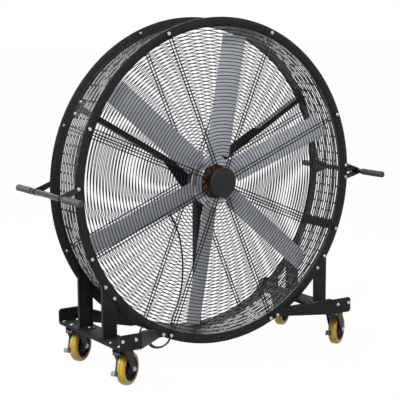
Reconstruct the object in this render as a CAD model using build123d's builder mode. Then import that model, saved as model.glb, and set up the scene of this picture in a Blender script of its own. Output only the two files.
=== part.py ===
"""A 60 inch drum fan on a wheeled base, as separate pieces.

Millimetres, +Z up. The origin is on the floor, under the middle of the drum.
The air leaves towards -Y, and the fan axis is a horizontal line along Y.
"""

import os
from math import cos, pi, radians, sin, sqrt, tan

from build123d import *

os.makedirs("parts", exist_ok=True)

# ---------------------------------------------------------------- driving dimensions
axis_height = 840.0
drum_radius = 750.0
drum_depth = 244.0
flange_width = 36.0
sheet = 2.0
flange_plate = 4.0
flange_leg = 36.0
half_depth = drum_depth / 2
flange_inner = drum_radius - flange_width
bolt_circle = 733.0
plate = 5.0

# perforation of the drum wall
wall_sides = 36
slot_columns = 3
slot_width = 24.0
slot_length = 84.0
slot_pitch = 40.0

# wire guards
wire = 4.0
front_ring_count = 8
back_ring_count = 4
guard_first_radius = 77.0
guard_last_radius = 709.0
spoke_count = 8
spoke_first_angle = 22.5
spoke_start = guard_first_radius - 12
spoke_gap = 12.5
cap_radius = 70.0
cap_depth = 12.0
cap_edge = 4.0
cap_sides = 24

# bolts
bolt_head = 9.0
bolt_height = 6.0
nut_radius = 10.0
blade_bolt = 8.0
blade_bolt_height = 5.0

# motor, hub and blades
blade_count = 6
blade_first_angle = 20.0
blade_chord = 110.0
blade_thickness = 14.0
blade_pitch = 20.0
blade_root = 119.0
blade_tip = 677.0
blade_face = -56.0
blade_skin = 2.5
blade_edge = 1.6
strut_width = 46.0
strut_thickness = 6.6
strut_start = 94.0
strut_length = 112.0
strut_clear = 2.0
blade_bolt_radii = (141.0, 181.0)
bell_radius = 76.5
bell_front = -66.0
bell_back = 24.0
bell_wall = 4.0
bell_sides = 24
bell_seat = -46.0
seat_radius = 92.0
boss_length = 14.0
boss_radius = 20.0
boss_sides = 12
sliver = 0.3
hub_radius = 118.0
hub_thickness = 8.0
shaft_radius = 12.0
shaft_sides = 24
tube_radius = 26.0
bearing_radius = 19.0
bearing_width = 12.0
bearing_sides = 16
bearing_inset = 2.0
bearing_bore = shaft_radius + 0.05
tube_front = -40.0
core_outer = 70.0
core_inner = 40.0
core_front = -34.0
core_back = 14.0
tooth_width = 10.0
winding_width = 19.0
winding_depth = 18.0
winding_outer = 62.0
winding_overhang = 14.0
vent_middle = 54.0
vent_width = 22.0
vent_length = 26.0
vent_slope = 82.0
tooth_count = 12
arm_angles = (30.0, 150.0, 270.0)
motor_plate_front = 76.0
motor_plate_sides = 36
motor_arm_front = 72.0
motor_arm_overlap = 30.0
motor_arm_width = 24.0
motor_arm_depth = 36.0
motor_plate_radius = 95.0
gusset_start = 30.0
gusset_peak = 60.0
gusset_length = 235.0
gusset_width = 74.0
foot_width = 92.0
foot_bolt = 29.0
foot_bolt_y = 95.0

# base
base_outer = 638.0
base_inner = 532.0
base_half = 285.0
caster_height = 190.0
base_plate = 6.0
base_top = caster_height + base_plate
base_lip = 9.0
upstand_height = 54.0
upstand_sheet = 4.0
upstand_inset = 4.0
corner_cut = 8.0
arm_bend = 530.0
arm_reach = 345.0
arm_end = 300.0
arm_top = 252.0
arm_bottom = 180.0
arm_end_top = 200.0
arm_end_bottom = 163.0
arm_flange = 20.0
arm_flange_share = 0.93
arm_corner = 10.0
arm_fold_shift = 2.0
post_centre = 591.0
post_width = 70.0
post_lip = 15.0
post_sheet = 4.0
post_foot = 50.0
post_clear = 721.0
base_bolts = ((625.0, 225.0), (560.0, 225.0))
arm_end_bolt = (322.0, 173.0)
post_bolts = ((611.0, 428.0), (569.0, 373.0))
post_foot_bolt = (586.0, -85.0)

# casters
swivel_x = 591.0
swivel_y = 221.0
trail_angle = 31.5
trail = 48.0
wheel_radius = 75.0
wheel_width = 46.0
wheel_sides = 32
core_radius = 58.0
core_sides = 20
hub_gap = 1.0
axle_radius = 6.0
pin_sides = 12
top_plate_x = 80.0
top_plate_y = 100.0
fork_inside = 54.0
fork_sheet = 5.0
crown_bottom = 170.0
crown_front = -30.0
crown_back = 40.0
leg_eye = 17.0
race_radius = 33.0
race_sides = 16
pedal_pivot_u = -42.0
pedal_pivot_z = 160.0
pedal_pin = 3.0
pedal_width = 30.0
pedal_sides = 8
pedal_arm = ((-49.0, 160.0), (-35.0, 160.0), (-84.0, 84.0), (-96.0, 84.0))
pedal_pad = ((-80.0, 92.0), (-80.0, 66.0), (-108.0, 66.0), (-112.0, 80.0), (-98.0, 88.0))

# handles
handle_x = 817.0
handle_z = axis_height - 5.0
handle_radius = 12.5
handle_half = 305.0
grip_radius = 15.0
grip_sides = 12
grip_start = 160.0
bracket_foot_x = 736.0
bracket_spread = 29.0
bracket_boss = 11.0

# mains cord
cord = 8.0
loop_turns = 1.5
loop_width = 66.0
loop_height = 50.0
loop_shrink = 6.0
loop_pitch = 11.0
loop_z = 100.0
gland_angle = -100.0
gland_offset = -37.3
gland_y = 70.0
gland_nut = 8.0
gland_length = 14.0
gland_lead = 11.0
hang_top = 172.0
hang_width = 56.0
clip_size = 16.0
clip_channel = 10.0
cord_sides = 4
loop_samples = 600
plug_top = 118.0
plug_relief = 10.0
plug_body = 30.0
plug_radius = 13.5
plug_neck = 7.0
plug_sides = 12
pin_length = 18.0
pin_thickness = 1.5
pin_width = 6.4
pin_spread = 6.35
pin_rise = 4.0
earth_pin = 2.4
earth_drop = 7.9


def fan_plane(y, angle=0.0):
    """The plane across the fan axis at y, seen from the front, turned by angle."""
    turn = radians(angle)
    return Plane(origin=(0, y, axis_height), x_dir=(cos(turn), 0, sin(turn)), z_dir=(0, -1, 0))


def radial_plane(angle, y=0.0, radius=0.0):
    """The plane square to the radius at this angle; its local x runs along +Y."""
    turn = radians(angle)
    place = (radius * cos(turn), y, axis_height + radius * sin(turn))
    return Plane(origin=place, x_dir=(0, 1, 0), z_dir=(cos(turn), 0, sin(turn)))


def save(part, name):
    part.label = name
    export_step(part, f"parts/{name}.step")


# ---------------------------------------------------------------- drum
# The rolled wall is drawn with many flat panels, one row of slots in each, three and two by turns.
panel_turn = 360 / wall_sides
panel_radius = flange_inner * cos(radians(panel_turn / 2))
leg_face = panel_radius + flange_plate * cos(radians(panel_turn / 2))
with BuildPart() as drum_shell:
    with BuildSketch(fan_plane(half_depth - flange_plate)):
        RegularPolygon(flange_inner, wall_sides, rotation=panel_turn / 2)
        RegularPolygon(flange_inner - sheet, wall_sides, rotation=panel_turn / 2, mode=Mode.SUBTRACT)
    extrude(amount=drum_depth - 2 * flange_plate)
    for row in range(wall_sides // 2):
        with BuildSketch(radial_plane(row * panel_turn)):
            with GridLocations(slot_pitch, 1, slot_columns - row % 2, 1):
                Rectangle(slot_width, slot_length)
        extrude(amount=drum_radius, both=True, mode=Mode.SUBTRACT)
save(drum_shell.part, "drum_shell")

with BuildPart() as front_ring:
    with BuildSketch(fan_plane(flange_plate - half_depth)):
        Circle(drum_radius)
    extrude(amount=flange_plate)
    with BuildSketch(fan_plane(flange_plate - half_depth)):
        RegularPolygon(flange_inner + flange_plate, wall_sides, rotation=panel_turn / 2)
    extrude(amount=flange_plate - flange_leg)
    with BuildSketch(fan_plane(-half_depth)):
        RegularPolygon(flange_inner, wall_sides, rotation=panel_turn / 2)
    extrude(amount=-flange_leg, mode=Mode.SUBTRACT)
save(front_ring.part, "front_ring")

with BuildPart() as back_ring:
    mirror(front_ring.part, about=Plane.XZ)
save(back_ring.part, "back_ring")


# ---------------------------------------------------------------- guards
def guard_radii(count):
    """Ring radii from the outside in, evenly spaced."""
    step = (guard_last_radius - guard_first_radius) / (count - 1)
    return [guard_last_radius - index * step for index in range(count)]


def guard_sides(radius):
    """Fewer straight sides on the small rings."""
    return 16 if radius < 260 else 24 if radius < 450 else 32


with BuildPart() as front_guard_rings:
    with BuildSketch(fan_plane(flange_plate - half_depth)):
        for radius in guard_radii(front_ring_count):
            RegularPolygon(radius + wire / 2, guard_sides(radius))
            RegularPolygon(radius - wire / 2, guard_sides(radius), mode=Mode.SUBTRACT)
    extrude(amount=wire)
save(front_guard_rings.part, "front_guard_rings")

with BuildPart() as back_guard_rings:
    with BuildSketch(fan_plane(half_depth)):
        for radius in guard_radii(back_ring_count):
            RegularPolygon(radius + wire / 2, guard_sides(radius))
            RegularPolygon(radius - wire / 2, guard_sides(radius), mode=Mode.SUBTRACT)
    extrude(amount=wire)
save(back_guard_rings.part, "back_guard_rings")

spoke_length = bolt_circle - spoke_start + spoke_gap
with BuildPart() as front_guard_spokes:
    with BuildSketch(fan_plane(-half_depth)):
        with PolarLocations((spoke_start + bolt_circle) / 2, spoke_count, start_angle=spoke_first_angle):
            Rectangle(spoke_length + wire, spoke_gap + wire)
        with PolarLocations((spoke_start + bolt_circle) / 2, spoke_count, start_angle=spoke_first_angle):
            Rectangle(spoke_length - wire, spoke_gap - wire, mode=Mode.SUBTRACT)
    extrude(amount=wire)
save(front_guard_spokes.part, "front_guard_spokes")

with BuildPart() as back_guard_spokes:
    mirror(front_guard_spokes.part, about=Plane.XZ)
save(back_guard_spokes.part, "back_guard_spokes")

with BuildPart() as guard_cap:
    with BuildSketch(fan_plane(-half_depth - wire)):
        RegularPolygon(cap_radius, cap_sides)
    extrude(amount=cap_depth)
    chamfer(guard_cap.faces().sort_by(Axis.Y)[0].edges(), length=cap_edge)
save(guard_cap.part, "guard_cap")

with BuildPart() as guard_bolts:
    with BuildSketch(fan_plane(-half_depth - wire)):
        with PolarLocations(bolt_circle, spoke_count, start_angle=spoke_first_angle):
            RegularPolygon(bolt_head, 6)
    extrude(amount=bolt_height)
    mirror(guard_bolts.part, about=Plane.XZ)
save(guard_bolts.part, "guard_bolts")

# ---------------------------------------------------------------- motor
motor_plate_back = motor_plate_front + hub_thickness
arm_back = motor_arm_front + motor_arm_depth
arm_start = motor_plate_radius - motor_arm_overlap
wall_inner = panel_radius - sheet
with BuildPart() as motor_frame:
    with BuildSketch(fan_plane(motor_plate_back)):
        RegularPolygon(motor_plate_radius, motor_plate_sides)
    extrude(amount=hub_thickness)
    with BuildSketch(fan_plane(motor_plate_front)):
        RegularPolygon(tube_radius, 2 * tooth_count, major_radius=False)
    extrude(amount=motor_plate_front - tube_front)
    for angle in arm_angles:
        with BuildSketch(fan_plane(arm_back, angle)):
            with Locations(((arm_start + wall_inner) / 2, 0)):
                Rectangle(wall_inner - arm_start, motor_arm_width)
        extrude(amount=motor_arm_depth)
        with BuildSketch(fan_plane(motor_plate_back + plate, angle)):
            Polygon((gusset_start, 0), (gusset_length, 0), (gusset_peak, gusset_width), align=None)
        extrude(amount=plate)
        with BuildSketch(fan_plane(arm_back, angle)):
            with Locations((wall_inner - plate / 2, 0)):
                Rectangle(plate, foot_width)
        extrude(amount=motor_arm_depth)
    with BuildSketch(fan_plane(motor_plate_back)):
        RegularPolygon(bearing_radius, bearing_sides)
    extrude(amount=motor_plate_back - tube_front, mode=Mode.SUBTRACT)
save(motor_frame.part, "motor_frame")

with BuildPart() as motor_bearings:
    for back in (tube_front + bearing_inset + bearing_width, motor_plate_back - bearing_inset):
        with BuildSketch(fan_plane(back)):
            RegularPolygon(bearing_radius, bearing_sides)
            RegularPolygon(bearing_bore, bearing_sides, major_radius=False, mode=Mode.SUBTRACT)
        extrude(amount=bearing_width)
save(motor_bearings.part, "motor_bearings")

with BuildPart() as stator_core:
    with BuildSketch(fan_plane(core_back)):
        RegularPolygon(core_inner, tooth_count, major_radius=False)
        with PolarLocations((core_outer + tube_radius) / 2, tooth_count):
            Rectangle(core_outer - tube_radius, tooth_width)
        RegularPolygon(tube_radius, 2 * tooth_count, major_radius=False, mode=Mode.SUBTRACT)
    extrude(amount=core_back - core_front)
save(stator_core.part, "stator_core")

core_middle = (core_front + core_back) / 2
core_length = core_back - core_front
with BuildPart() as stator_windings:
    for tooth in range(tooth_count):
        with BuildSketch(radial_plane(tooth * 360 / tooth_count, core_middle, winding_outer)):
            Rectangle(core_length + 2 * winding_overhang, winding_width)
            Rectangle(core_length, tooth_width, mode=Mode.SUBTRACT)
        extrude(amount=-winding_depth)
save(stator_windings.part, "stator_windings")

with BuildPart() as rotor_bell:
    with BuildSketch(fan_plane(bell_back)):
        RegularPolygon(seat_radius, bell_sides)
    extrude(amount=bell_back - bell_seat)
    with BuildSketch(fan_plane(bell_seat)):
        RegularPolygon(bell_radius, bell_sides)
    extrude(amount=bell_seat - bell_front)
    with BuildSketch(fan_plane(bell_back)):
        RegularPolygon(bell_radius - bell_wall, 2 * tooth_count, major_radius=False)
    extrude(amount=bell_back - bell_front - bell_wall, mode=Mode.SUBTRACT)
    with BuildSketch(fan_plane(bell_front + bell_wall + boss_length)):
        RegularPolygon(boss_radius, boss_sides)
    extrude(amount=boss_length)
    with BuildSketch(fan_plane(bell_front + bell_wall)):
        with PolarLocations(vent_middle, tooth_count, start_angle=180 / tooth_count):
            Trapezoid(vent_width, vent_length, vent_slope, rotation=90)
    extrude(amount=bell_wall, mode=Mode.SUBTRACT)
    with BuildSketch(fan_plane(bell_front + bell_wall + boss_length)):
        RegularPolygon(shaft_radius, shaft_sides)
    extrude(amount=boss_length, mode=Mode.SUBTRACT)
save(rotor_bell.part, "rotor_bell")

with BuildPart() as rotor_shaft:
    with BuildSketch(fan_plane(motor_plate_back)):
        RegularPolygon(shaft_radius, shaft_sides)
    extrude(amount=motor_plate_back - bell_front - bell_wall)
save(rotor_shaft.part, "rotor_shaft")


# ---------------------------------------------------------------- hub and blades
def blade_plane(angle, radius):
    """The plane square to a blade at this radius; local x is its chord, local -y faces the air outlet."""
    turn = radians(angle)
    pitch = radians(blade_pitch)
    outward = Vector(cos(turn), 0, sin(turn))
    chord = Vector(cos(pitch) * sin(turn), -sin(pitch), -cos(pitch) * cos(turn))
    return Plane(origin=Vector(0, blade_face, axis_height) + outward * radius, x_dir=chord, z_dir=outward)


with BuildPart() as blade_hub:
    with BuildSketch(fan_plane(bell_seat)):
        RegularPolygon(hub_radius, bell_sides)
        RegularPolygon(bell_radius + sliver, bell_sides, mode=Mode.SUBTRACT)
    extrude(amount=hub_thickness)
    for number in range(blade_count):
        with BuildSketch(blade_plane(blade_first_angle + number * 360 / blade_count, strut_start)):
            with Locations((0, blade_skin + strut_thickness / 2)):
                Rectangle(strut_width, strut_thickness)
        extrude(amount=strut_length)
save(blade_hub.part, "blade_hub")

for number in range(blade_count):
    with BuildPart() as blade:
        with BuildSketch(blade_plane(blade_first_angle + number * 360 / blade_count, blade_root)):
            with BuildLine():
                trailing_edge = Line((blade_chord / 2, 0), (blade_chord / 2, blade_edge))
                back_skin = ThreePointArc(
                    trailing_edge @ 1, (0, blade_thickness), (-blade_chord / 2, blade_edge)
                )
                leading_edge = Line(back_skin @ 1, (-blade_chord / 2, 0))
                Line(leading_edge @ 1, trailing_edge @ 0)
            make_face()
            with Locations((0, blade_skin + strut_thickness / 2)):
                Rectangle(strut_width + strut_clear, strut_thickness, mode=Mode.SUBTRACT)
        extrude(amount=blade_tip - blade_root)
    save(blade.part, f"blade_{number + 1}")

with BuildPart() as blade_bolts:
    for number in range(blade_count):
        for radius in blade_bolt_radii:
            root = blade_plane(blade_first_angle + number * 360 / blade_count, radius)
            with BuildSketch(Plane(origin=root.origin, x_dir=root.x_dir, z_dir=-root.y_dir)):
                RegularPolygon(blade_bolt, 6)
            extrude(amount=blade_bolt_height)
save(blade_bolts.part, "blade_bolts")

# ---------------------------------------------------------------- base
# Everything below is drawn for the right side or the right front corner, then mirrored.
with BuildPart() as right_base_plate:
    with BuildSketch(Plane.XZ.offset(-base_half)):
        with BuildLine():
            Polyline(
                (base_inner, caster_height - base_lip),
                (base_inner, base_top),
                (base_outer, base_top),
                (base_outer, caster_height - base_lip),
                (base_outer - base_plate, caster_height - base_lip),
                (base_outer - base_plate, caster_height),
                (base_inner + base_plate, caster_height),
                (base_inner + base_plate, caster_height - base_lip),
                close=True,
            )
        make_face()
    extrude(amount=2 * base_half)
    for back in (base_half, upstand_sheet - base_half):
        with BuildSketch(Plane.XZ.offset(-back)) as upstand:
            with Locations(((base_outer + base_inner) / 2, base_top + upstand_height / 2)):
                Rectangle(base_outer - base_inner - 2 * upstand_inset, upstand_height)
            chamfer(upstand.vertices().group_by(Axis.Z)[-1], length=corner_cut)
        extrude(amount=upstand_sheet)
save(right_base_plate.part, "right_base_plate")

with BuildPart() as left_base_plate:
    mirror(right_base_plate.part, about=Plane.YZ)
save(left_base_plate.part, "left_base_plate")

# An arm is one bent sheet: its plan runs along the base, then slants in to the face of the ring.
outside = -base_half - plate
ring_face = -half_depth
bend = Vector(arm_bend, outside)
reach = Vector(arm_reach, ring_face - plate)
fold_stop = bend + (reach - bend) * arm_flange_share
slant = (bend - reach).normalized()
with BuildPart() as arm_fold:
    with BuildSketch():
        Polygon(
            (bend.X, bend.Y),
            (fold_stop.X, fold_stop.Y),
            (fold_stop.X - slant.Y * arm_flange, fold_stop.Y + slant.X * arm_flange),
            (bend.X, bend.Y + arm_flange / slant.X),
            align=None,
        )
    extrude(amount=axis_height)
    with BuildSketch(Plane.XZ.offset(-ring_face)):
        Polygon(
            (arm_bend, arm_top),
            (arm_reach, arm_end_top),
            (arm_reach, arm_end_top - upstand_sheet),
            (arm_bend, arm_top - upstand_sheet),
            align=None,
        )
    extrude(amount=base_half, mode=Mode.INTERSECT)

with BuildPart() as right_front_arm:
    with BuildSketch():
        Polygon(
            (base_outer, outside),
            (arm_bend, outside),
            (arm_reach, ring_face - plate),
            (arm_end, ring_face - plate),
            (arm_end, ring_face),
            (arm_reach + arm_fold_shift, ring_face),
            (arm_bend + arm_fold_shift, outside + plate),
            (base_outer, outside + plate),
            align=None,
        )
    extrude(amount=axis_height)
    with BuildSketch(Plane.XZ.offset(-ring_face)) as side_outline:
        Polygon(
            (base_outer, arm_bottom),
            (base_outer, arm_top),
            (arm_bend, arm_top),
            (arm_reach, arm_end_top),
            (arm_end, arm_end_top),
            (arm_end, arm_end_bottom),
            (arm_reach, arm_end_bottom),
            (arm_bend, arm_bottom),
            align=None,
        )
        chamfer(side_outline.vertices().group_by(Axis.X)[-1], length=arm_corner)
        chamfer(side_outline.vertices().group_by(Axis.X)[0], length=corner_cut)
    extrude(amount=base_half, mode=Mode.INTERSECT)
    add(arm_fold.part)
save(right_front_arm.part, "right_front_arm")

with BuildPart() as right_back_arm:
    mirror(right_front_arm.part, about=Plane.XZ)
save(right_back_arm.part, "right_back_arm")

with BuildPart() as left_front_arm:
    mirror(right_front_arm.part, about=Plane.YZ)
save(left_front_arm.part, "left_front_arm")

with BuildPart() as left_back_arm:
    mirror(right_back_arm.part, about=Plane.YZ)
save(left_back_arm.part, "left_back_arm")

web_face = -half_depth + flange_plate
with BuildPart() as post:
    with BuildSketch(Plane.XY.offset(base_top)):
        with Locations((post_centre, web_face)):
            Rectangle(post_width, post_sheet, align=(Align.CENTER, Align.MIN))
        with Locations((post_centre, web_face + post_lip / 2)):
            with GridLocations(post_width - post_sheet, 1, 2, 1):
                Rectangle(post_sheet, post_lip)
    extrude(amount=axis_height / 3)
    with BuildSketch(Plane.XY.offset(base_top)):
        with Locations((post_centre, web_face)):
            Rectangle(post_width - 2 * post_sheet, post_foot, align=(Align.CENTER, Align.MIN))
    extrude(amount=post_sheet)
    with BuildSketch(fan_plane(0)):
        Circle(post_clear)
    extrude(amount=half_depth, mode=Mode.SUBTRACT)

with BuildPart() as posts:
    add(post.part)
    mirror(posts.part, about=Plane.XZ)
    mirror(posts.part, about=Plane.YZ)
save(posts.part, "posts")

# ---------------------------------------------------------------- bolts of the frame
with BuildPart() as corner_bolts:
    with BuildSketch(Plane.XZ.offset(-outside)):
        with Locations(*base_bolts):
            RegularPolygon(bolt_head, 6)
    extrude(amount=bolt_height)
    with BuildSketch(Plane.XZ.offset(plate - ring_face)):
        with Locations(arm_end_bolt):
            RegularPolygon(bolt_head, 6)
        with Locations((bracket_foot_x, axis_height - bracket_spread)):
            RegularPolygon(bolt_head, 6)
        with Locations((bracket_foot_x, axis_height + bracket_spread)):
            RegularPolygon(bolt_head, 6)
    extrude(amount=bolt_height)
    with BuildSketch(Plane.XZ.offset(-ring_face)):
        with Locations(*post_bolts):
            RegularPolygon(bolt_head, 6)
    extrude(amount=bolt_height)
    with BuildSketch(Plane.XY.offset(base_top + post_sheet)):
        with Locations(post_foot_bolt):
            RegularPolygon(bolt_head, 6)
    extrude(amount=bolt_height)

with BuildPart() as frame_bolts:
    add(corner_bolts.part)
    mirror(frame_bolts.part, about=Plane.XZ)
    mirror(frame_bolts.part, about=Plane.YZ)
    for angle in arm_angles:
        with BuildSketch(radial_plane(angle, foot_bolt_y, leg_face)):
            with Locations((0, -foot_bolt), (0, foot_bolt)):
                RegularPolygon(bolt_head, 6)
        extrude(amount=bolt_height)
save(frame_bolts.part, "frame_bolts")

# ---------------------------------------------------------------- handles
bracket_face = half_depth
with BuildPart() as right_handle:
    with BuildSketch(Plane.XZ.offset(-handle_half)):
        with Locations((handle_x, handle_z)):
            RegularPolygon(handle_radius, grip_sides)
    extrude(amount=2 * handle_half)
    for back in (-bracket_face, bracket_face + plate):
        for side in (-1, 1):
            with BuildSketch(Plane.XZ.offset(-back)):
                with Locations((bracket_foot_x, axis_height + side * bracket_spread)):
                    RegularPolygon(bracket_boss, 6)
                with Locations((handle_x, handle_z)):
                    RegularPolygon(grip_radius, 6)
                make_hull()
            extrude(amount=plate)
save(right_handle.part, "right_handle")

with BuildPart() as left_handle:
    mirror(right_handle.part, about=Plane.YZ)
save(left_handle.part, "left_handle")

with BuildPart() as handle_grips:
    with BuildSketch(Plane.XZ.offset(grip_start)):
        with Locations((handle_x, handle_z)):
            RegularPolygon(grip_radius, grip_sides)
            RegularPolygon(handle_radius, grip_sides, mode=Mode.SUBTRACT)
    extrude(amount=handle_half - grip_start)
    mirror(handle_grips.part, about=Plane.XZ)
    mirror(handle_grips.part, about=Plane.YZ)
save(handle_grips.part, "handle_grips")


# ---------------------------------------------------------------- casters
def caster_plane(x, y, side=0.0):
    """The upright plane along the trail of the caster at x, y; side moves it along the axle."""
    turn = radians(trail_angle)
    axle = Vector(sin(turn), -cos(turn), 0)
    return Plane(origin=Vector(x, y, 0) + axle * side, x_dir=(cos(turn), sin(turn), 0), z_dir=axle)


corners = (
    ("front_left", -swivel_x, -swivel_y),
    ("front_right", swivel_x, -swivel_y),
    ("back_left", -swivel_x, swivel_y),
    ("back_right", swivel_x, swivel_y),
)
crown_top = crown_bottom + fork_sheet
race_bottom = crown_top + sliver
nut_top = crown_bottom - sliver

with BuildPart() as caster_plates:
    for name, x, y in corners:
        with BuildSketch(Plane.XY.offset(caster_height - plate)):
            with Locations((x, y)):
                Rectangle(top_plate_x, top_plate_y)
        extrude(amount=plate)
        with BuildSketch(Plane.XY.offset(race_bottom)):
            with Locations((x, y)):
                RegularPolygon(race_radius, race_sides)
        extrude(amount=caster_height - plate - race_bottom)
        with BuildSketch(Plane.XY.offset(nut_top)):
            with Locations((x, y)):
                RegularPolygon(axle_radius, pin_sides)
        extrude(amount=race_bottom - nut_top)
        with BuildSketch(Plane.XY.offset(nut_top - bolt_height)):
            with Locations((x, y)):
                RegularPolygon(nut_radius, 6)
        extrude(amount=bolt_height)
save(caster_plates.part, "caster_plates")

fork_outside = fork_inside + 2 * fork_sheet
hole_radius = axle_radius + 0.1
lug_side = pedal_width / 2 + 1
for name, x, y in corners:
    with BuildPart() as fork:
        with BuildSketch(caster_plane(x, y, -fork_outside / 2)):
            with Locations((crown_front, crown_bottom)):
                Rectangle(crown_back - crown_front, fork_sheet, align=Align.MIN)
        extrude(amount=fork_outside)
        for side in (-fork_outside / 2, fork_inside / 2):
            with BuildSketch(caster_plane(x, y, side)):
                with Locations((crown_front, crown_bottom)):
                    Rectangle(crown_back - crown_front, fork_sheet, align=Align.MIN)
                with Locations((trail, wheel_radius)):
                    RegularPolygon(leg_eye, 8)
                make_hull()
            extrude(amount=fork_sheet)
        for side in (-lug_side - fork_sheet, lug_side):
            with BuildSketch(caster_plane(x, y, side)):
                with Locations((crown_front, crown_bottom)):
                    Rectangle(fork_sheet, fork_sheet, align=Align.MIN)
                with Locations((pedal_pivot_u, pedal_pivot_z)):
                    RegularPolygon(2 * pedal_pin, 6)
                make_hull()
            extrude(amount=fork_sheet)
        with BuildSketch(caster_plane(x, y, -lug_side)):
            with Locations((pedal_pivot_u, pedal_pivot_z)):
                RegularPolygon(pedal_pin, pedal_sides)
        extrude(amount=2 * lug_side)
        with BuildSketch(caster_plane(x, y, -fork_inside / 2)):
            with Locations((trail, wheel_radius)):
                RegularPolygon(axle_radius, pin_sides)
        extrude(amount=fork_inside)
        for side in (-fork_outside / 2 - bolt_height, fork_outside / 2):
            with BuildSketch(caster_plane(x, y, side)):
                with Locations((trail, wheel_radius)):
                    RegularPolygon(nut_radius, 6)
            extrude(amount=bolt_height)
        with BuildSketch(Plane.XY.offset(crown_bottom)):
            with Locations((x, y)):
                RegularPolygon(hole_radius, pin_sides, major_radius=False)
        extrude(amount=fork_sheet, mode=Mode.SUBTRACT)
    save(fork.part, f"{name}_fork")

    with BuildPart() as wheel_core:
        with BuildSketch(caster_plane(x, y, -wheel_width / 2)):
            with Locations((trail, wheel_radius)):
                RegularPolygon(core_radius, core_sides)
        extrude(amount=wheel_width)
        with BuildSketch(caster_plane(x, y, hub_gap - fork_inside / 2)):
            with Locations((trail, wheel_radius)):
                RegularPolygon(leg_eye, 8)
        extrude(amount=fork_inside - 2 * hub_gap)
        with BuildSketch(caster_plane(x, y, -fork_inside / 2)):
            with Locations((trail, wheel_radius)):
                RegularPolygon(hole_radius, pin_sides, major_radius=False)
        extrude(amount=fork_inside, mode=Mode.SUBTRACT)
    save(wheel_core.part, f"{name}_wheel_core")

    with BuildPart() as tyre:
        with BuildSketch(caster_plane(x, y, -wheel_width / 2)):
            with Locations((trail, wheel_radius)):
                RegularPolygon(wheel_radius, wheel_sides)
                RegularPolygon(core_radius, core_sides, mode=Mode.SUBTRACT)
        extrude(amount=wheel_width)
    save(tyre.part, f"{name}_tyre")

    with BuildPart() as pedal:
        with BuildSketch(caster_plane(x, y, -pedal_width / 2)):
            with Locations((pedal_pivot_u, pedal_pivot_z)):
                RegularPolygon(2 * pedal_pin + 1, 6)
            Polygon(*pedal_arm, align=None)
            Polygon(*pedal_pad, align=None)
            with Locations((pedal_pivot_u, pedal_pivot_z)):
                RegularPolygon(pedal_pin + sliver, pedal_sides, mode=Mode.SUBTRACT)
        extrude(amount=pedal_width)
    save(pedal.part, f"{name}_pedal")

# ---------------------------------------------------------------- mains cord
# The lead leaves the wall through a gland, hangs in loops, climbs over a clip and ends in a plug.
gland_base = radial_plane(gland_angle, gland_y, panel_radius).from_local_coords((0, gland_offset, 0))
gland_out = radial_plane(gland_angle).z_dir
gland_plane = Plane(origin=gland_base, x_dir=(0, 1, 0), z_dir=gland_out)
gland_mouth = gland_base + gland_out * gland_length
first_bend = gland_mouth + gland_out * gland_lead
loop_x = first_bend.X - loop_width
loop_start = Vector(first_bend.X, gland_y, loop_z)
loop_end_y = gland_y - loop_pitch * loop_turns
loop_end = Vector(loop_x - loop_width + loop_shrink * loop_turns, loop_end_y, loop_z)
down = Vector(0, 0, -1)
straight_end = cord
clip_x = loop_end.X - hang_width / 2


def loop_place(turn):
    """A point on the loops: they start on the right, run down, shrink and come forward."""
    angle = 2 * pi * turn
    width = loop_width - loop_shrink * turn
    height = loop_height - loop_shrink * turn
    return Vector(loop_x + width * cos(angle), gland_y - loop_pitch * turn, loop_z - height * sin(angle))


def loop_way(turn):
    """The direction of the loops there, upright at both ends."""
    if turn == 0:
        return down
    if turn == loop_turns:
        return -down
    return (loop_place(turn + 0.001) - loop_place(turn - 0.001)).normalized()


def biarc_joint(start, start_way, end, end_way):
    """Where two equal-reach tangent arcs from start to end meet, and their direction there."""
    across = end - start
    both = start_way + end_way
    open_angle = 2 * (1 - start_way.dot(end_way))
    lead = across.dot(both)
    reach = (sqrt(lead**2 + open_angle * across.dot(across)) - lead) / open_angle
    near = start + start_way * reach
    far = end - end_way * reach
    return (near + far) * 0.5, (far - near).normalized()


with BuildPart() as cord_coil:
    with BuildLine() as loops:
        Line(loop_start - down * straight_end, loop_start)
        for quarter in range(round(4 * loop_turns)):
            start = loop_place(quarter / 4)
            end = loop_place((quarter + 1) / 4)
            middle, way = biarc_joint(start, loop_way(quarter / 4), end, loop_way((quarter + 1) / 4))
            TangentArc(start, middle, tangent=loop_way(quarter / 4))
            TangentArc(middle, end, tangent=way)
        Line(loop_end, loop_end - down * straight_end)
    with BuildSketch(Plane(origin=loop_start - down * straight_end, x_dir=(1, 0, 0), z_dir=down)):
        RegularPolygon(cord / 2, cord_sides)
    sweep(path=loops.wire())
save(cord_coil.part, "cord_coil")

walk = [loops.wire() @ (step / loop_samples) for step in range(loop_samples + 1)]
neighbours = round(6 * cord / loops.wire().length * loop_samples)
gap = min(
    (walk[first] - walk[second]).length
    for first in range(loop_samples + 1)
    for second in range(first + neighbours, loop_samples + 1)
)
print("loops: length", round(loops.wire().length), "least gap", round(gap - cord, 1))


def bend_radii(points):
    """For each corner of a route, 0.45 of its shorter run over the tangent of half the turn."""
    radii = []
    for before, here, after in zip(points, points[1:], points[2:]):
        shorter = min((here - before).length, (after - here).length)
        turn = radians((here - before).get_angle(after - here))
        radii.append(0.45 * shorter / tan(turn / 2))
    return radii


def cord_tube(points, plane):
    """A tube along straight runs joined by tangent arcs."""
    with BuildPart() as tube:
        with BuildLine() as route:
            FilletPolyline(*points, radius=bend_radii(points))
        with BuildSketch(plane) as section:
            RegularPolygon(cord / 2, cord_sides)
        sweep(path=route.wire())
    print("radii", [round(radius) for radius in bend_radii(points)], "length", round(route.wire().length))
    share = tube.part.volume / (section.sketch.area * route.wire().length)
    print("volume over section times length", round(share, 3))
    return tube.part


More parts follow.
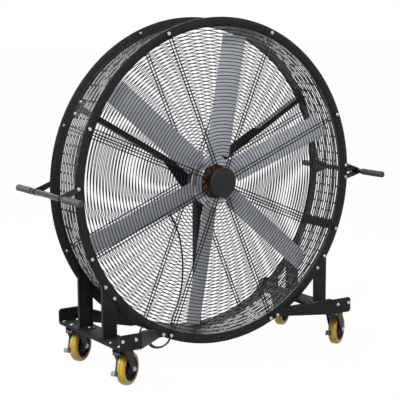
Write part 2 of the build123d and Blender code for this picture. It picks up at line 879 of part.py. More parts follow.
gland_stretch = [gland_mouth, first_bend, loop_start - down * straight_end]
hang_stretch = [
    loop_end - down * straight_end,
    Vector(loop_end.X, loop_end_y, hang_top),
    Vector(loop_end.X - hang_width, loop_end_y, hang_top),
    Vector(loop_end.X - hang_width, loop_end_y, plug_top),
]
with BuildPart() as power_cord:
    add(cord_tube(gland_stretch, Plane(origin=gland_mouth, x_dir=(0, 1, 0), z_dir=gland_out)))
    add(cord_tube(hang_stretch, Plane(origin=hang_stretch[0], x_dir=(1, 0, 0), z_dir=-down)))
save(power_cord.part, "power_cord")

# The motor lead, behind the motor and down inside the wall to the gland.
lead_stretch = [
    Vector(-62, motor_plate_back, 800),
    Vector(-62, 108, 800),
    Vector(-95, 108, 772),
    Vector(-160, 106, 738),
    Vector(-138, 105, 665),
    Vector(-98, 101, 600),
    Vector(-80, 96, 500),
    Vector(-76, 92, 400),
    Vector(-92, 86, 300),
    Vector(-124, 78, 228),
    gland_base - gland_out * 44,
    gland_base - gland_out * sheet,
]
with BuildPart() as motor_lead:
    add(cord_tube(lead_stretch, Plane(origin=lead_stretch[0], x_dir=(1, 0, 0), z_dir=(0, 1, 0))))
save(motor_lead.part, "motor_lead")

with BuildPart() as cord_fittings:
    with BuildSketch(gland_plane):
        RegularPolygon(gland_nut + cord / 2, 6)
    extrude(amount=gland_nut)
    with BuildSketch(gland_plane):
        RegularPolygon(cord, 12)
    extrude(amount=gland_length)
    with BuildSketch(Plane.XY.offset(hang_top - cord)):
        with Locations((clip_x, loop_end_y)):
            Rectangle(clip_size, clip_size)
    extrude(amount=3 * clip_size)
    with BuildSketch(Plane.YZ.offset(clip_x - clip_size)):
        with Locations((loop_end_y, hang_top)):
            Rectangle(clip_channel, clip_channel)
    extrude(amount=2 * clip_size, mode=Mode.SUBTRACT)
    with BuildSketch(fan_plane(half_depth)):
        RegularPolygon(flange_inner, wall_sides, rotation=panel_turn / 2)
    extrude(amount=drum_depth, mode=Mode.SUBTRACT)
save(cord_fittings.part, "cord_fittings")

plug_x = loop_end.X - hang_width
with BuildPart() as plug:
    with BuildSketch(Plane.XY.offset(plug_top)):
        with Locations((plug_x, loop_end_y)):
            RegularPolygon(plug_neck, plug_sides)
    extrude(amount=-plug_relief)
    with BuildSketch(Plane.XY.offset(plug_top - plug_relief)):
        with Locations((plug_x, loop_end_y)):
            RegularPolygon(plug_radius, plug_sides)
    extrude(amount=-plug_body)
    with BuildSketch(Plane.XY.offset(plug_top - plug_relief - plug_body)):
        with Locations((plug_x, loop_end_y + pin_rise)):
            with GridLocations(2 * pin_spread, 1, 2, 1):
                Rectangle(pin_thickness, pin_width)
        with Locations((plug_x, loop_end_y - earth_drop)):
            RegularPolygon(earth_pin, plug_sides)
    extrude(amount=-pin_length)
save(plug.part, "plug")
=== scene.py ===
"""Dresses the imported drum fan: fine guards, perforated wall, casters, bolts, cords and finishes.

Shapes are in millimetres in the frame of the part: the origin is on the floor under the middle of
the drum, +X to the right, +Y to the back and +Z up. A shape is scaled to metres when it becomes a
piece. The mains cord's control points, the lamps and the floor are in metres.
"""

from math import atan2, cos, pi, radians, sin

import bmesh
import bpy
from mathutils import Matrix, Vector


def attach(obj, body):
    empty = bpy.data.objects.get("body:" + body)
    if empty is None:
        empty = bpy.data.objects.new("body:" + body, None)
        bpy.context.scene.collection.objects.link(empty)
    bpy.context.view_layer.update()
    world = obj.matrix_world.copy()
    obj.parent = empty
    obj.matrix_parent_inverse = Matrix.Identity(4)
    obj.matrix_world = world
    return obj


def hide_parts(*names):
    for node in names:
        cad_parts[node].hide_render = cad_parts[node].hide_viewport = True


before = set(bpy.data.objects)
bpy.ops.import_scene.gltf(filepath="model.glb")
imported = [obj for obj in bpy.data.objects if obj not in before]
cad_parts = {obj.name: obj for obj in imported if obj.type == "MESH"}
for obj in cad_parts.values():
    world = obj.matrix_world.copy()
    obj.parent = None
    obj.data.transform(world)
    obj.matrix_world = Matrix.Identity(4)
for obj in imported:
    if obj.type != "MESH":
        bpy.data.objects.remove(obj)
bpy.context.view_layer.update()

MM = 0.001

# ---------------------------------------------------------------- dimensions
# drum
axis_height = 840
drum_radius = 750
half_depth = 122
flange_plate = 4
flange_leg = 18
wall_outer = 711.9
wall_sheet = 2
bolt_circle = 733
spoke_wire = 2.8
spoke_angles = [22.5 + 45 * k for k in range(8)]
arm_angles = (30, 150, 270)

# rotor
blade_angles = [20 + 60 * k for k in range(6)]
blade_pitch = 20
blade_y = -56
blade_root, blade_tip = 119, 677
blade_bolt_radii = (141, 181)

# base, handles and casters
base_top = 196
post_sheet = 4
bar_x, bar_z = 817, 835
bracket_x, bracket_lift = 736, 29
bracket_sheet = 5
bracket_face = half_depth + bracket_sheet
swivel_x, swivel_y = 591, 221
trail_angle = 31.5
trail = 48
wheel_radius = 75
corners = {
    "front_left": (-swivel_x, -swivel_y),
    "front_right": (swivel_x, -swivel_y),
    "back_left": (-swivel_x, swivel_y),
    "back_right": (swivel_x, swivel_y),
}


# ---------------------------------------------------------------- frames
def frame_of(origin, x_way, z_way):
    """The matrix of a frame from its origin, local x and local z."""
    x_way, z_way = Vector(x_way).normalized(), Vector(z_way).normalized()
    y_way = z_way.cross(x_way)
    return Matrix.Translation(origin) @ Matrix((x_way, y_way, z_way)).transposed().to_4x4()


def fan(y, turn=0):
    """Across the fan axis at y, local z towards the air outlet."""
    return frame_of((0, y, axis_height), (cos(radians(turn)), 0, sin(radians(turn))), (0, -1, 0))


def radial(angle, y=0, radius=0):
    """Square to the radius, local x along +Y and local z outwards."""
    way = Vector((cos(radians(angle)), 0, sin(radians(angle))))
    return frame_of(Vector((0, y, axis_height)) + way * radius, (0, 1, 0), way)


def front(x, y, z):
    """Facing the front, local x along +X and local z along -Y."""
    return frame_of((x, y, z), (1, 0, 0), (0, -1, 0))


def back(x, y, z):
    """Facing the back, local x along -X and local z along +Y."""
    return frame_of((x, y, z), (-1, 0, 0), (0, 1, 0))


def up(x, y, z):
    """Facing up, local x along +X."""
    return frame_of((x, y, z), (1, 0, 0), (0, 0, 1))


def caster(x, y, side=0):
    """Upright along the trail of a caster, local x along the trail, y up and z along the axle."""
    way = radians(trail_angle)
    axle = Vector((sin(way), -cos(way), 0))
    return frame_of(Vector((x, y, 0)) + axle * side, (cos(way), sin(way), 0), axle)


def blade_frame(angle, radius):
    """Square to a blade at this radius, local x along the chord, local y towards the back skin."""
    turn, pitch = radians(angle), radians(blade_pitch)
    outward = Vector((cos(turn), 0, sin(turn)))
    chord = Vector((cos(pitch) * sin(turn), -sin(pitch), -cos(pitch) * cos(turn)))
    return frame_of(Vector((0, blade_y, axis_height)) + outward * radius, chord, outward)


# ---------------------------------------------------------------- meshes
class Shape:
    """Vertices and faces gathered in millimetres."""

    def __init__(self):
        self.verts = []
        self.faces = []

    def add(self, verts, faces, at=Matrix()):
        """Adds one solid, placed by a frame."""
        first = len(self.verts)
        self.verts += [at @ Vector(v) for v in verts]
        self.faces += [[first + i for i in face] for face in faces]
        return self

    def prism(self, outline, depth, at):
        """An outline in local x and y, from local z 0 to depth."""
        n = len(outline)
        verts = [(x, y, 0) for x, y in outline] + [(x, y, depth) for x, y in outline]
        sides = [(i, (i + 1) % n, n + (i + 1) % n, n + i) for i in range(n)]
        return self.add(verts, sides + [tuple(range(n))[::-1], tuple(range(n, 2 * n))], at)

    def turned(self, profile, steps, at, ring=False):
        """A profile of (radius, height) turned about local z; ring closes it on itself."""
        verts, faces, n = [], [], len(profile)
        for k in range(steps):
            c, s = cos(2 * pi * k / steps), sin(2 * pi * k / steps)
            verts += [(r * c, r * s, h) for r, h in profile]
        for k in range(steps):
            a, b = k * n, (k + 1) % steps * n
            for i in range(n if ring else n - 1):
                j = (i + 1) % n
                faces.append((a + i, b + i, b + j, a + j))
        if not ring:
            faces.append([k * n for k in range(steps)][::-1])
            faces.append([k * n + n - 1 for k in range(steps)])
        return self.add(verts, faces, at)

    def tube(self, path, radius, sides, at=Matrix()):
        """A round tube along points, closed on itself; its frames follow the path without twist."""
        path = [Vector(p) for p in path]
        n = len(path)
        ways = [(path[(i + 1) % n] - path[i - 1]).normalized() for i in range(n)]
        normal = ways[0].orthogonal().normalized()
        verts = []
        for p, way in zip(path, ways):
            normal = (normal - way * normal.dot(way)).normalized()
            other = way.cross(normal)
            for k in range(sides):
                t = 2 * pi * k / sides
                verts.append(p + (normal * cos(t) + other * sin(t)) * radius)
        faces = []
        for i in range(n):
            a, b = i * sides, (i + 1) % n * sides
            for k in range(sides):
                m = (k + 1) % sides
                faces.append((a + k, a + m, b + m, b + k))
        return self.add(verts, faces, at)


def circle(x, y, radius, count, start=0):
    """Points round a circle."""
    turns = [start + 2 * pi * k / count for k in range(count)]
    return [(x + radius * cos(turn), y + radius * sin(turn)) for turn in turns]


def arc(radius, angles):
    """Points on an arc about the origin, at angles in degrees."""
    return [(radius * cos(radians(a)), radius * sin(radians(a))) for a in angles]


def hull(points):
    """The convex outline round some points, counterclockwise."""
    points = sorted(set(points))
    halves = []
    for line in (points, points[::-1]):
        half = []
        for p in line:
            while len(half) > 1 and (half[-1][0] - half[-2][0]) * (p[1] - half[-2][1]) <= (
                half[-1][1] - half[-2][1]
            ) * (p[0] - half[-2][0]):
                half.pop()
            half.append(p)
        halves += half[:-1]
    return halves


# ---------------------------------------------------------------- pieces
edge_angle = 38


def soften(obj, width, harden=True):
    """A small bevel along the sharp edges."""
    edge = obj.modifiers.new("edges", "BEVEL")
    edge.width = width * MM
    edge.segments = 2
    edge.limit_method = "ANGLE"
    edge.angle_limit = radians(edge_angle)
    edge.harden_normals = harden


def piece(name, shape, finish, body, replaced=(), bevel=0, sharp=32, sheet=False):
    """A shape as an object; the faces of closed shells are turned outwards."""
    mesh = bpy.data.meshes.new(name)
    mesh.from_pydata([v * MM for v in shape.verts], [], shape.faces)
    mesh.validate()
    if not sheet:
        shells = bmesh.new()
        shells.from_mesh(mesh)
        bmesh.ops.recalc_face_normals(shells, faces=shells.faces)
        shells.to_mesh(mesh)
        shells.free()
    mesh.polygons.foreach_set("use_smooth", [True] * len(mesh.polygons))
    mesh.materials.append(finish)
    obj = bpy.data.objects.new(name, mesh)
    bpy.context.scene.collection.objects.link(obj)
    if bevel:
        soften(obj, bevel)
    else:
        mesh.set_sharp_from_angle(angle=radians(sharp))
    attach(obj, body)
    if replaced:
        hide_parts(*replaced)
    return obj


# ---------------------------------------------------------------- materials
noise_low, noise_high = 0.3, 0.7
rough_drift = 0.07
least_rough = 0.02
dust_grey = (0.35, 0.33, 0.3)


def material(name, colour, rough, metal=0.0, vary=0.25, scale=30.0, bump=0.1, grain=400.0, coat=0.0,
             stretch=(1, 1, 1), dust=0.0, specular=0.5):
    """A finish with slow colour drift, fine grain in roughness and bump, and dust in patches."""
    mat = bpy.data.materials.new(name)
    mat.use_nodes = True
    nodes, links = mat.node_tree.nodes, mat.node_tree.links
    shader = nodes["Principled BSDF"]
    shader.inputs["Metallic"].default_value = metal
    shader.inputs["Coat Weight"].default_value = coat
    shader.inputs["Specular IOR Level"].default_value = specular
    place = nodes.new("ShaderNodeTexCoord")
    mapping = nodes.new("ShaderNodeMapping")
    mapping.inputs["Scale"].default_value = stretch
    links.new(place.outputs["Object"], mapping.inputs["Vector"])

    def noise(size, detail=3.0):
        node = nodes.new("ShaderNodeTexNoise")
        node.inputs["Scale"].default_value = size
        node.inputs["Detail"].default_value = detail
        links.new(mapping.outputs["Vector"], node.inputs["Vector"])
        return node.outputs["Fac"]

    def spread(source, low, high):
        node = nodes.new("ShaderNodeMapRange")
        node.inputs["From Min"].default_value = noise_low
        node.inputs["From Max"].default_value = noise_high
        node.inputs["To Min"].default_value = low
        node.inputs["To Max"].default_value = high
        links.new(source, node.inputs["Value"])
        return node.outputs["Result"]

    slow, fine = noise(scale), noise(grain, 5.0)
    tint = nodes.new("ShaderNodeMix")
    tint.data_type = "RGBA"
    tint.inputs["A"].default_value = (*[c * (1 - vary) for c in colour], 1)
    tint.inputs["B"].default_value = (*[min(1, c * (1 + vary)) for c in colour], 1)
    links.new(spread(slow, 0, 1), tint.inputs["Factor"])
    colour_out = tint.outputs["Result"]
    if dust:
        patch = nodes.new("ShaderNodeMix")
        patch.data_type = "RGBA"
        patch.inputs["B"].default_value = (*dust_grey, 1)
        links.new(colour_out, patch.inputs["A"])
        links.new(spread(noise(scale * 3, 6.0), 0, dust), patch.inputs["Factor"])
        colour_out = patch.outputs["Result"]
    links.new(colour_out, shader.inputs["Base Color"])
    roughness = spread(fine, max(least_rough, rough - rough_drift), min(1, rough + rough_drift))
    links.new(roughness, shader.inputs["Roughness"])
    relief = nodes.new("ShaderNodeBump")
    relief.inputs["Strength"].default_value = bump
    relief.inputs["Distance"].default_value = MM
    links.new(fine, relief.inputs["Height"])
    links.new(relief.outputs["Normal"], shader.inputs["Normal"])
    return mat


# painted and darkened steel
black = material("black_powder_coat", (0.0095, 0.01, 0.0115), 0.45, grain=900, bump=0.15, dust=0.015,
                 specular=0.13)
plate_black = material("black_plate", (0.0095, 0.01, 0.0115), 0.55, grain=900, bump=0.15, dust=0.015,
                       specular=0.06)
wall_black = material("black_wall", (0.011, 0.012, 0.0155), 0.3, grain=900, bump=0.12, dust=0.015,
                      specular=0.5)
bar_black = material("black_bar", (0.011, 0.0115, 0.013), 0.27, grain=900, bump=0.05, specular=0.32)
wire_black = material("black_wire", (0.007, 0.0075, 0.0085), 0.32, grain=700, bump=0.05, specular=0.16)
dark_metal = material("dark_metal", (0.02, 0.02, 0.023), 0.4, metal=0.3, grain=500, specular=0.3)
# bare, plated and varnished metal
zinc = material("zinc_plate", (0.47, 0.48, 0.5), 0.34, metal=0.85, scale=60, grain=600, bump=0.06)
steel = material("ground_steel", (0.45, 0.45, 0.47), 0.28, metal=1.0, stretch=(1, 1, 30))
lamination = material("stator_lamination", (0.2, 0.2, 0.21), 0.45, metal=0.9, stretch=(1, 90, 1), grain=120)
copper = material("varnished_winding", (1.0, 0.37, 0.055), 0.45, vary=0.2, scale=90, grain=300, bump=0.2)
aluminium = material("blade_aluminium", (0.45, 0.475, 0.52), 0.42, metal=0.15, vary=0.08, scale=8,
                     grain=350, bump=0.05, specular=0.4)
hub_metal = material("hub_aluminium", (0.5, 0.51, 0.54), 0.3, metal=0.85, vary=0.1, grain=350, bump=0.05)
plug_metal = material("plug_pins", (0.36, 0.36, 0.37), 0.3, metal=1.0)
# plastic, rubber and pedals
cap_plastic = material("cap_plastic", (0.014, 0.014, 0.0145), 0.45, grain=1200, bump=0.12, specular=0.2)
grip_rubber = material("grip_rubber", (0.045, 0.045, 0.05), 0.6, grain=800, bump=0.25, specular=0.3)
cord_rubber = material("cord_rubber", (0.014, 0.014, 0.016), 0.45, grain=900, bump=0.15, specular=0.4)
wheel_black = material("wheel_core_black", (0.012, 0.012, 0.014), 0.42, grain=600, dust=0.03,
                       specular=0.25)
tread_yellow = material("yellow_tread", (0.5, 0.32, 0.008), 0.36, vary=0.1, scale=18, grain=500, bump=0.1,
                        dust=0.015, coat=0.15)
pedal_light = material("pedal_grey", (0.3, 0.29, 0.33), 0.4, metal=0.5, grain=400, dust=0.1)
pedal_dark = material("pedal_black", (0.03, 0.03, 0.033), 0.45, grain=400, dust=0.1)

# ---------------------------------------------------------------- camera
yaw, pitch, roll = radians(33.359), radians(-8.635), radians(-0.246)
camera_place = Vector((-2982.8, -4471.1, 1560.4))
ahead = Vector((sin(yaw) * cos(pitch), cos(yaw) * cos(pitch), sin(pitch)))
level = Vector((cos(yaw), -sin(yaw), 0))
above = level.cross(ahead)
across = level * cos(roll) + above * sin(roll)
camera_data = bpy.data.cameras.new("camera")
camera_data.lens = 104.66
camera_data.sensor_width = 36
camera = bpy.data.objects.new("camera", camera_data)
camera.matrix_world = frame_of(camera_place * MM, across, -ahead)
bpy.context.scene.collection.objects.link(camera)
bpy.context.scene.camera = camera


# ---------------------------------------------------------------- cords
def spline(name, points, diameter, mat):
    """A round cord on one smooth spline, its control points in metres."""
    data = bpy.data.curves.new(name, "CURVE")
    data.dimensions = "3D"
    data.bevel_depth = diameter / 2
    data.bevel_resolution = 4
    data.resolution_u = 8
    data.use_fill_caps = True
    line = data.splines.new("NURBS")
    line.points.add(len(points) - 1)
    for control, p in zip(line.points, points):
        control.co = (*p, 1)
    line.order_u = 3
    line.use_endpoint_u = True
    obj = bpy.data.objects.new(name, data)
    bpy.context.scene.collection.objects.link(obj)
    data.materials.append(mat)
    return obj


# the gland stands on one of the part's flat wall panels, beside the panel's middle
cord = 0.008
gland_angle = -100
gland_y, gland_aside = 70, -37.3
panel_radius = 714 * cos(radians(5))
gland_out = radial(gland_angle).to_3x3() @ Vector((0, 0, 1))
gland_base = radial(gland_angle, gland_y, panel_radius) @ Vector((0, gland_aside, 0)) * MM
gland_height, first_run = 0.014, 0.011
gland_mouth = gland_base + gland_out * gland_height
first_bend = gland_mouth + gland_out * first_run

# the loops hang below the gland, each turn smaller and nearer the front
loop_turns = 1.5
loop_width, loop_height, loop_shrink = 0.066, 0.050, 0.006
loop_y, loop_z, loop_pitch = 0.070, 0.100, 0.011
loop_straight = 0.008
loop_x = first_bend.x - loop_width
points_a_turn = 12


def loop_place(turn):
    """A point of the loops after this many turns."""
    angle = 2 * pi * turn
    width, height = loop_width - loop_shrink * turn, loop_height - loop_shrink * turn
    return Vector((loop_x + width * cos(angle), loop_y - loop_pitch * turn, loop_z - height * sin(angle)))


# from the loops the cord goes up, across through a clip and down, and ends in its plug
loop_start, loop_end = loop_place(0), loop_place(loop_turns)
rise = Vector((0, 0, loop_straight))
hang_top, hang_width, plug_top = 0.172, 0.056, 0.118
plug_x = loop_end.x - hang_width
cord_points = [gland_mouth, first_bend, loop_start + rise]
cord_points += [loop_place(k / points_a_turn) for k in range(round(loop_turns * points_a_turn) + 1)]
cord_points += [
    loop_end + rise,
    Vector((loop_end.x, loop_end.y, hang_top)),
    Vector((plug_x, loop_end.y, hang_top)),
    Vector((plug_x, loop_end.y, plug_top)),
]
mains = spline("mains_cord", cord_points, cord, cord_rubber)
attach(mains, "frame")
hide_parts("power_cord", "cord_coil")

# the plug hangs down, its local z from the cord to the pins
plug_length = 40
plug_at = frame_of((plug_x / MM, loop_end.y / MM, plug_top / MM), (1, 0, 0), (0, 0, -1))
plug_profile = [(4.2, -6), (4.8, -5), (4.8, -3), (4.4, -2.2), (5.2, -1.4), (5.4, 0.4), (4.9, 1.2),
                (5.8, 2), (6.2, 4), (5.6, 4.8), (6.8, 5.6), (7.2, 8), (10.5, 10), (13, 11.5), (13.4, 14),
                (12.2, 18), (12.2, 30), (13.2, 34), (13.4, 38.5), (12.6, plug_length)]
plug_shape = Shape().turned(plug_profile, 32, plug_at)
plug_body = piece("plug_body", plug_shape, cord_rubber, "frame", ["plug"])

pin_x, pin_half, pin_low, pin_high, pin_length = 6.35, 0.75, -7.2, -0.8, 18
earth_y, earth_radius = 7.9, 2.4
pins = Shape()
pins_at = plug_at @ Matrix.Translation((0, 0, plug_length))
for side in (-1, 1):
    low_x, high_x = side * pin_x - pin_half, side * pin_x + pin_half
    outline = [(low_x, pin_low), (high_x, pin_low), (high_x, pin_high), (low_x, pin_high)]
    pins.prism(outline, pin_length, pins_at)
earth_profile = [(earth_radius, 0), (earth_radius, pin_length - 2), (earth_radius - 1, pin_length)]
pins.turned(earth_profile, 16, plug_at @ Matrix.Translation((0, earth_y, plug_length)))
plug_pins = piece("plug_pins", pins, plug_metal, "frame", bevel=0.25)

# a hexagon and a domed nut on the wall, then a tapered relief with ribs
gland_at = frame_of(gland_base / MM, (0, 1, 0), gland_out)
fitting = Shape()
fitting.prism(circle(0, 0, 12, 6), 7, gland_at)
fitting.turned([(9.5, 6), (9.5, 9), (8.6, 11.5), (7.4, 13.5), (5, 14)], 32, gland_at)
piece("cord_gland", fitting, cord_rubber, "frame", ["cord_fittings"], bevel=0.5)

relief_ribs, rib_pitch, rib_taper, rib_depth = 7, 1.7, 0.27, 0.5
relief_profile = [(6.6, 6)]
for k in range(relief_ribs):
    r = 6.4 - rib_taper * k
    h = rib_pitch * k
    relief_profile += [(r, 13.2 + h), (r, 14.2 + h), (r - rib_depth, 14.5 + h), (r - rib_depth, 14.8 + h)]
relief_profile.append((4.1, 26))
relief_shape = Shape().turned(relief_profile, 24, gland_at)
relief = piece("strain_relief", relief_shape, cord_rubber, "frame")

# a saddle clip under the cord's top run, with a leg up on each side
clip_length, clip_leg_x, clip_leg_half, clip_leg_height = 16, 6.6, 1.4, 14
clip_x = plug_x / MM + hang_width / MM / 2
clip_at = frame_of((clip_x - clip_length / 2, loop_end.y / MM, hang_top / MM), (0, 1, 0), (1, 0, 0))
clip = Shape()
clip.prism(arc(5.2, range(180, 361, 20)) + arc(8, range(360, 179, -20)), clip_length, clip_at)
for side in (-1, 1):
    low_x, high_x = side * clip_leg_x - clip_leg_half, side * clip_leg_x + clip_leg_half
    outline = [(low_x, 0), (high_x, 0), (high_x, clip_leg_height), (low_x, clip_leg_height)]
    clip.prism(outline, clip_length, clip_at)
piece("cord_clip", clip, zinc, "frame", bevel=0.4)

# the motor's lead goes down behind the rotor and ends square to the wall, at the gland
lead_straight, lead_gap = 0.044, 0.002
lead_route = [(-62, 84, 800), (-62, 108, 800), (-95, 108, 772), (-160, 106, 738), (-138, 105, 665),
              (-98, 101, 600), (-80, 96, 500), (-76, 92, 400), (-92, 86, 300), (-124, 78, 228)]
lead_points = [Vector(p) * MM for p in lead_route]
lead_points += [gland_base - gland_out * lead_straight, gland_base - gland_out * lead_gap]
lead = spline("motor_cable", lead_points, cord, cord_rubber)
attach(lead, "frame")
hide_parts("motor_lead")


# ---------------------------------------------------------------- drum wall
def wall_point(angle, y, radius):
    """A point at this radius about the fan axis."""
    return (radius * cos(angle), y, axis_height + radius * sin(angle))


rows, columns = 54, 13
hole_pitch = 15.45
hole_radius, hole_reach = 4.4, 34
half_row = pi / rows
pattern_turn = radians(3.7)
gland_turn = atan2(gland_base.z / MM - axis_height, gland_base.x / MM)
edge_y = half_depth - flange_plate
cell_corners = 8

# a slot's outline, counterclockwise from the middle of its right end
slot_ring = []
for end, turns in ((1, range(-90, 91, 45)), (-1, range(90, 271, 45))):
    slot_ring += [(end * hole_reach + x, y) for x, y in arc(hole_radius, turns)]
    slot_ring += [(end * u * hole_reach / 2, end * hole_radius) for u in (1, 0, -1)]
slot_ring = slot_ring[2:] + slot_ring[:2]

wall = Shape()
wall_index = {}


def wall_spot(step, y):
    """A point of the wall's outer face; step counts half rows, and the wall is flat between whole steps."""
    low = step // 1
    ends = [Vector(wall_point(pattern_turn + k * half_row, y, wall_outer)) for k in (low, low + 1)]
    return ends[0].lerp(ends[1], step - low)


def wall_vertex(half, y):
    """The shared vertex at a half row and a place along the axis."""
    key = (half % (2 * rows), y)
    if key not in wall_index:
        wall_index[key] = len(wall.verts)
        wall.verts.append(wall_spot(key[0], y))
    return wall_index[key]


def left_blank(here, y):
    """Whether the cable gland needs this cell without its slot."""
    away = (pattern_turn + here * half_row - gland_turn + pi) % (2 * pi) - pi
    return abs(y - gland_base.y / MM) < hole_pitch and abs(away) <= half_row


def wall_cell(here, middle):
    """One cell of the wall about a half row and a column, with its slot."""
    low, high = middle - hole_pitch / 2, middle + hole_pitch / 2
    rim = [wall_vertex(here + step, y) for step, y in (
        (1, middle), (1, high), (0, high), (-1, high), (-1, middle), (-1, low), (0, low), (1, low))]
    if left_blank(here, middle):
        wall.faces.append(rim)
        return
    first = len(wall.verts)
    for u, v in slot_ring:
        wall.verts.append(wall_spot(here + u / (wall_outer * half_row), middle + v))
    for k in range(cell_corners):
        inner = [first + (2 * k + step) % (2 * cell_corners) for step in (2, 1, 0)]
        wall.faces.append([rim[k], rim[(k + 1) % cell_corners], *inner])


for column in range(columns):
    for row in range(rows):
        wall_cell(2 * row + column % 2, (column - (columns - 1) / 2) * hole_pitch)
for low, high in ((-edge_y, -columns / 2 * hole_pitch), (columns / 2 * hole_pitch, edge_y)):
    for half in range(2 * rows):
        wall.faces.append([wall_vertex(half, low), wall_vertex(half + 1, low), wall_vertex(half + 1, high),
                           wall_vertex(half, high)])
wall_piece = piece("perforated_wall", wall, wall_black, "frame", ["drum_shell"],
                   sheet=True)
thick = wall_piece.modifiers.new("sheet", "SOLIDIFY")
thick.thickness = wall_sheet * MM
thick.offset = 1


def seam_band():
    """The overlap of the wall's two ends, a curved band inside it on the right."""
    middle, half, steps = radians(338.4), 22 / wall_outer, 6
    turns = [middle + half * (2 * k / steps - 1) for k in range(steps + 1)]
    inside, outside = wall_outer - wall_sheet - 1.5, wall_outer - wall_sheet + 0.2
    verts = [wall_point(a, y, r) for y in (-edge_y, edge_y) for r in (inside, outside) for a in turns]
    n = steps + 1
    faces = [(*range(n), *range(2 * n - 1, n - 1, -1))]
    faces.append((*range(3 * n - 1, 2 * n - 1, -1), *range(3 * n, 4 * n)))
    for k in range(steps):
        faces += [(k, k + 2 * n, k + 2 * n + 1, k + 1), (n + k, n + k + 1, 3 * n + k + 1, 3 * n + k)]
    faces += [(0, n, 3 * n, 2 * n), (n - 1, 3 * n - 1, 4 * n - 1, 2 * n - 1)]
    return Shape().add(verts, faces)


piece("wall_seam", seam_band(), black, "frame", bevel=0.4)

# ---------------------------------------------------------------- flange rings
# (radius, height over the flange's face): out along the face, round the rim, back and down the leg
ring_profile = [
    (wall_outer, -0.8), (wall_outer + 0.8, 0), (drum_radius - 1, 0), (drum_radius, -0.8),
    (drum_radius, -flange_plate), (drum_radius - 0.8, -flange_plate - 0.8),
    (wall_outer + 7, -flange_plate - 0.8), (wall_outer + 4.9, -flange_plate - 1.7),
    (wall_outer + 4, -flange_plate - 3.8), (wall_outer + 4, -flange_leg - 0.8),
    (wall_outer, -flange_leg - 0.8),
]
for name, at in (("front_ring", front(0, -half_depth, axis_height)),
                 ("back_ring", frame_of((0, half_depth, axis_height), (1, 0, 0), (0, 1, 0)))):
    ring = Shape().turned(ring_profile, 160, at, ring=True)
    piece(name + "_steel", ring, black, "frame", [name], sharp=50)

# ---------------------------------------------------------------- guards
ring_wire = 2.0
ring_count = 41
ring_first, ring_last = 77, 709
ring_stagger = 0.3
spoke_gap = 7.5
spoke_first, spoke_last = 68, 733


def guard_rings(side):
    """The rings of a guard, larger ones with more sides; side is -1 at the front and 1 at the back."""
    rings = Shape()
    for k in range(ring_count):
        radius = ring_first + (ring_last - ring_first) * k / (ring_count - 1)
        steps = 40 + 4 * round(radius / 32)
        loop = circle(0, 0, radius, steps, ring_stagger * k)
        path = [(x, side * (half_depth - ring_wire), axis_height + z) for x, z in loop]
        rings.tube(path, ring_wire, 6)
    return rings


def guard_spokes(side):
    """The radial wires of a guard, each a long closed loop."""
    spokes = Shape()
    bends = [(spoke_gap * sin(radians(a)), spoke_gap * cos(radians(a))) for a in range(90, -91, -15)]
    path = [(0, aside, spoke_last + along) for aside, along in bends]
    path += [(0, -aside, spoke_first - along) for aside, along in bends]
    for angle in spoke_angles:
        spokes.tube(path, spoke_wire, 10, radial(angle, side * (half_depth + spoke_wire)))
    return spokes


for name, side in (("front", -1), ("back", 1)):
    piece(name + "_rings", guard_rings(side), wire_black, "frame", [name + "_guard_rings"],
          sharp=80)
    piece(name + "_spokes", guard_spokes(side), wire_black, "frame",
          [name + "_guard_spokes"], sharp=80)

cap_seat = -half_depth - 4
cap_profile = [(69, 0.6), (70, 1.4), (70, 8), (69.4, 9.8), (67.8, 11.2), (65.5, 11.9), (63, 12), (62, 11.6),
               (60.5, 11.6), (59.5, 12), (30, 12), (0.5, 12)]
cap = Shape().turned(cap_profile, 96, fan(cap_seat))
piece("centre_cap", cap, cap_plastic, "frame", ["guard_cap"], sharp=50)


# ---------------------------------------------------------------- bolts
def bolt(shape, at, radius=6.6, height=5.5, washer=8.2):
    """A hexagon bolt head with a chamfered top on a round washer."""
    shape.turned([(washer, 0), (washer, 1.2), (washer - 0.5, 1.7), (radius * 0.8, 1.7)], 20, at)
    shape.prism(circle(0, 0, radius * 0.96, 6), height - 1, at)
    shape.turned([(radius * 0.93, height - 1.2), (radius * 0.86, height - 0.5), (radius * 0.6, height),
                  (0.4, height)], 18, at)


def nut(shape, at, radius=7.5, height=5, thread=4, end=9):
    """A hexagon nut with the end of its bolt standing out."""
    shape.prism(circle(0, 0, radius, 6), height, at)
    shape.turned([(thread, 0), (thread, end - 1), (thread - 1, end)], 14, at)


guard_bolts = Shape()
for angle in spoke_angles:
    x, z = bolt_circle * cos(radians(angle)), axis_height + bolt_circle * sin(radians(angle))
    bolt(guard_bolts, front(x, -half_depth - 2 * spoke_wire, z))
    bolt(guard_bolts, back(x, half_depth + 2 * spoke_wire, z))
    nut(guard_bolts, back(x, flange_plate - half_depth, z))
    nut(guard_bolts, front(x, half_depth - flange_plate, z))
piece("guard_bolt_heads", guard_bolts, zinc, "frame", ["guard_bolts"])

